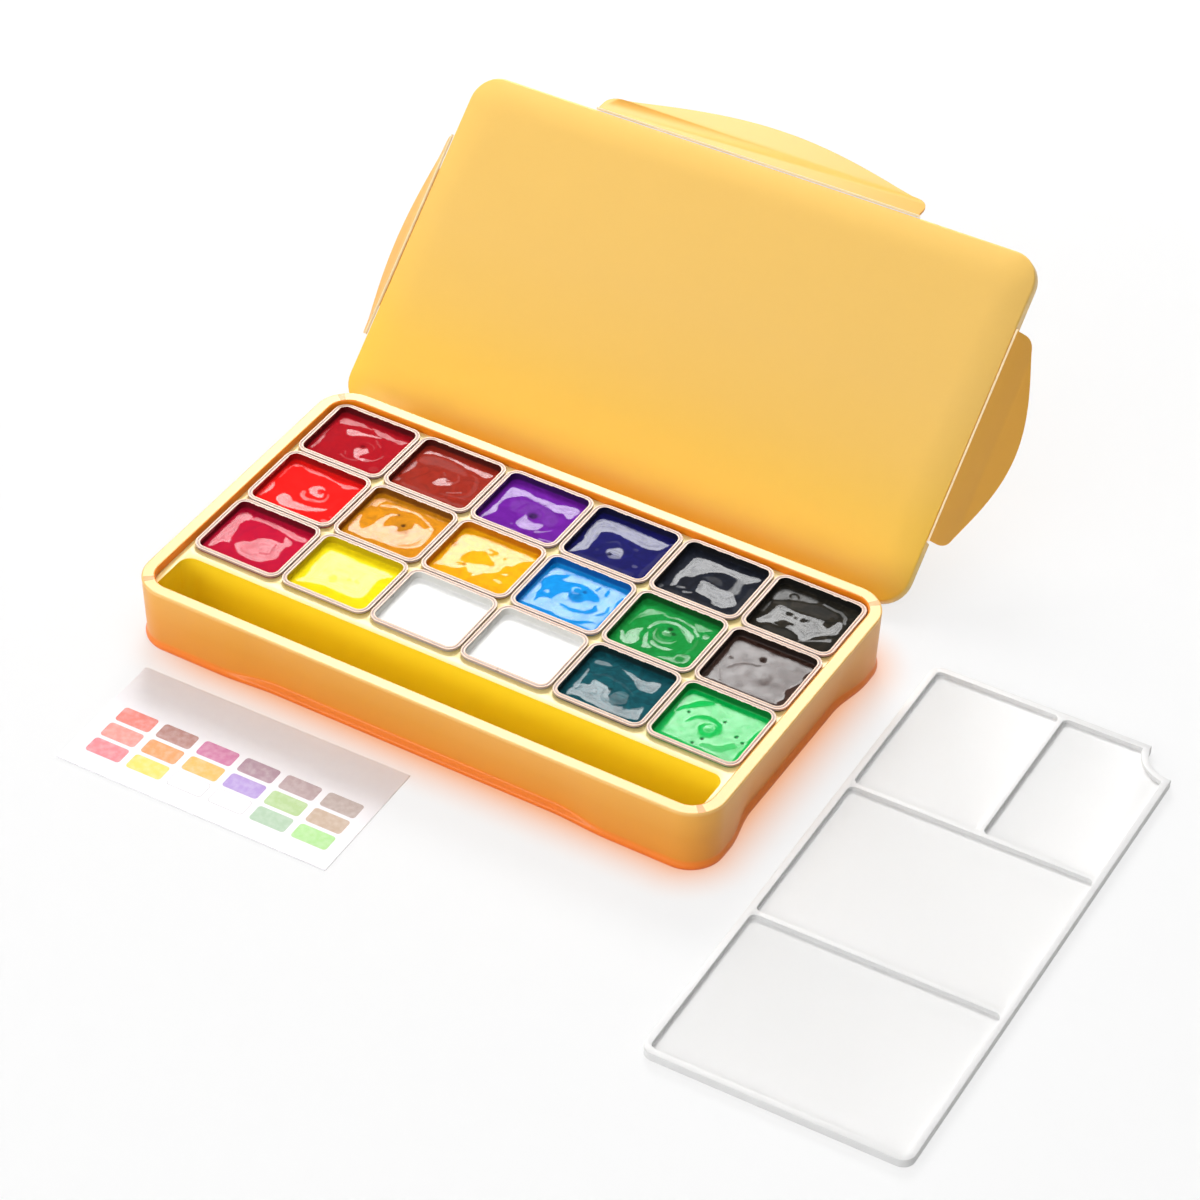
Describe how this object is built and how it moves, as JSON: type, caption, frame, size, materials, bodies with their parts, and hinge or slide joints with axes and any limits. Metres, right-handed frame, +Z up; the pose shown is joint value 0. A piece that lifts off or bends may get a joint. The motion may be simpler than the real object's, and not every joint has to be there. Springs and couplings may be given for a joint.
{
  "type": "gouache paint set box",
  "caption": "Gouache paint set: shallow plastic case with lift-out square paint cups and a brush slot, its detached lid with hinged latch flaps, a mixing palette and a colour card.",
  "frame": {"origin": "centre of the case's flat underside, on the table", "axes": "+X along the case to its right end, +Y to the back where the lid stands, +Z up"},
  "size_m": [0.5054, 0.4799, 0.1289],
  "materials": {
    "case_plastic": "moulded, satin",
    "deck_plastic": "moulded, satin",
    "lid_plastic": "moulded, satin",
    "flap_plastic": "moulded, satin",
    "cup_plastic": "thin, translucent",
    "palette_plastic": "moulded, glossy",
    "card_paper": "coated card",
    "gouache_01": "wet gouache",
    "gouache_02": "wet gouache",
    "gouache_03": "wet gouache",
    "gouache_04": "wet gouache",
    "gouache_05": "wet gouache",
    "gouache_06": "wet gouache",
    "gouache_07": "wet gouache",
    "gouache_08": "wet gouache",
    "gouache_09": "wet gouache",
    "gouache_10": "wet gouache",
    "gouache_11": "wet gouache",
    "gouache_12": "wet gouache",
    "gouache_13": "wet gouache",
    "gouache_14": "wet gouache",
    "gouache_15": "wet gouache",
    "gouache_16": "wet gouache",
    "gouache_17": "wet gouache",
    "gouache_18": "wet gouache"
  },
  "bodies": {
    "case": {"base_shell": "case_plastic", "cup_deck": "deck_plastic"},
    "cup_01_body": {"cup_01": "cup_plastic", "paint_01": "gouache_01"},
    "cup_02_body": {"cup_02": "cup_plastic", "paint_02": "gouache_02"},
    "cup_03_body": {"cup_03": "cup_plastic", "paint_03": "gouache_03"},
    "cup_04_body": {"cup_04": "cup_plastic", "paint_04": "gouache_04"},
    "cup_05_body": {"cup_05": "cup_plastic", "paint_05": "gouache_05"},
    "cup_06_body": {"cup_06": "cup_plastic", "paint_06": "gouache_06"},
    "cup_07_body": {"cup_07": "cup_plastic", "paint_07": "gouache_07"},
    "cup_08_body": {"cup_08": "cup_plastic", "paint_08": "gouache_08"},
    "cup_09_body": {"cup_09": "cup_plastic", "paint_09": "gouache_09"},
    "cup_10_body": {"cup_10": "cup_plastic", "paint_10": "gouache_10"},
    "cup_11_body": {"cup_11": "cup_plastic", "paint_11": "gouache_11"},
    "cup_12_body": {"cup_12": "cup_plastic", "paint_12": "gouache_12"},
    "cup_13_body": {"cup_13": "cup_plastic", "paint_13": "gouache_13"},
    "cup_14_body": {"cup_14": "cup_plastic", "paint_14": "gouache_14"},
    "cup_15_body": {"cup_15": "cup_plastic", "paint_15": "gouache_15"},
    "cup_16_body": {"cup_16": "cup_plastic", "paint_16": "gouache_16"},
    "cup_17_body": {"cup_17": "cup_plastic", "paint_17": "gouache_17"},
    "cup_18_body": {"cup_18": "cup_plastic", "paint_18": "gouache_18"},
    "lid": {"lid_shell": "lid_plastic"},
    "front_flap": {"front_flap": "flap_plastic"},
    "rear_flap": {"rear_flap": "flap_plastic"},
    "left_flap": {"left_flap": "flap_plastic"},
    "right_flap": {"right_flap": "flap_plastic"},
    "palette": {"palette": "palette_plastic"},
    "colour_card": {"colour_card": "card_paper"}
  },
  "joints": [
    {"name": "cup_01_lift", "type": "slide", "parent": "case", "child": "cup_01_body", "axis": [0, 0, 1], "range_m": [0, 0.04]},
    {"name": "cup_02_lift", "type": "slide", "parent": "case", "child": "cup_02_body", "axis": [0, 0, 1], "range_m": [0, 0.04]},
    {"name": "cup_03_lift", "type": "slide", "parent": "case", "child": "cup_03_body", "axis": [0, 0, 1], "range_m": [0, 0.04]},
    {"name": "cup_04_lift", "type": "slide", "parent": "case", "child": "cup_04_body", "axis": [0, 0, 1], "range_m": [0, 0.04]},
    {"name": "cup_05_lift", "type": "slide", "parent": "case", "child": "cup_05_body", "axis": [0, 0, 1], "range_m": [0, 0.04]},
    {"name": "cup_06_lift", "type": "slide", "parent": "case", "child": "cup_06_body", "axis": [0, 0, 1], "range_m": [0, 0.04]},
    {"name": "cup_07_lift", "type": "slide", "parent": "case", "child": "cup_07_body", "axis": [0, 0, 1], "range_m": [0, 0.04]},
    {"name": "cup_08_lift", "type": "slide", "parent": "case", "child": "cup_08_body", "axis": [0, 0, 1], "range_m": [0, 0.04]},
    {"name": "cup_09_lift", "type": "slide", "parent": "case", "child": "cup_09_body", "axis": [0, 0, 1], "range_m": [0, 0.04]},
    {"name": "cup_10_lift", "type": "slide", "parent": "case", "child": "cup_10_body", "axis": [0, 0, 1], "range_m": [0, 0.04]},
    {"name": "cup_11_lift", "type": "slide", "parent": "case", "child": "cup_11_body", "axis": [0, 0, 1], "range_m": [0, 0.04]},
    {"name": "cup_12_lift", "type": "slide", "parent": "case", "child": "cup_12_body", "axis": [0, 0, 1], "range_m": [0, 0.04]},
    {"name": "cup_13_lift", "type": "slide", "parent": "case", "child": "cup_13_body", "axis": [0, 0, 1], "range_m": [0, 0.04]},
    {"name": "cup_14_lift", "type": "slide", "parent": "case", "child": "cup_14_body", "axis": [0, 0, 1], "range_m": [0, 0.04]},
    {"name": "cup_15_lift", "type": "slide", "parent": "case", "child": "cup_15_body", "axis": [0, 0, 1], "range_m": [0, 0.04]},
    {"name": "cup_16_lift", "type": "slide", "parent": "case", "child": "cup_16_body", "axis": [0, 0, 1], "range_m": [0, 0.04]},
    {"name": "cup_17_lift", "type": "slide", "parent": "case", "child": "cup_17_body", "axis": [0, 0, 1], "range_m": [0, 0.04]},
    {"name": "cup_18_lift", "type": "slide", "parent": "case", "child": "cup_18_body", "axis": [0, 0, 1], "range_m": [0, 0.04]},
    {"name": "lid_lift", "type": "slide", "parent": "case", "child": "lid", "axis": [0, 0.342, 0.9397], "range_m": [0, 0.12]},
    {"name": "front_flap_hinge", "type": "hinge", "parent": "lid", "child": "front_flap", "pos_m": [-0.0134, 0.11468, 0.00407], "axis": [0.9999, 0.0127, 0], "range_deg": [0, 122.5]},
    {"name": "rear_flap_hinge", "type": "hinge", "parent": "lid", "child": "rear_flap", "pos_m": [-0.01522, 0.25774, 0.1254], "axis": [-0.9999, -0.0127, 0], "range_deg": [-60, 50]},
    {"name": "left_flap_hinge", "type": "hinge", "parent": "lid", "child": "left_flap", "pos_m": [-0.17519, 0.18416, 0.06474], "axis": [0.0097, -0.7626, -0.6468], "range_deg": [-80, 30]},
    {"name": "right_flap_hinge", "type": "hinge", "parent": "lid", "child": "right_flap", "pos_m": [0.14658, 0.18826, 0.06474], "axis": [-0.0097, 0.7626, 0.6468], "range_deg": [-75, 35]},
    {"name": "palette_lift", "type": "slide", "parent": "case", "child": "palette", "axis": [0, 0, 1], "range_m": [0, 0.1]},
    {"name": "card_lift", "type": "slide", "parent": "case", "child": "colour_card", "axis": [0, 0, 1], "range_m": [0, 0.1]}
  ]
}
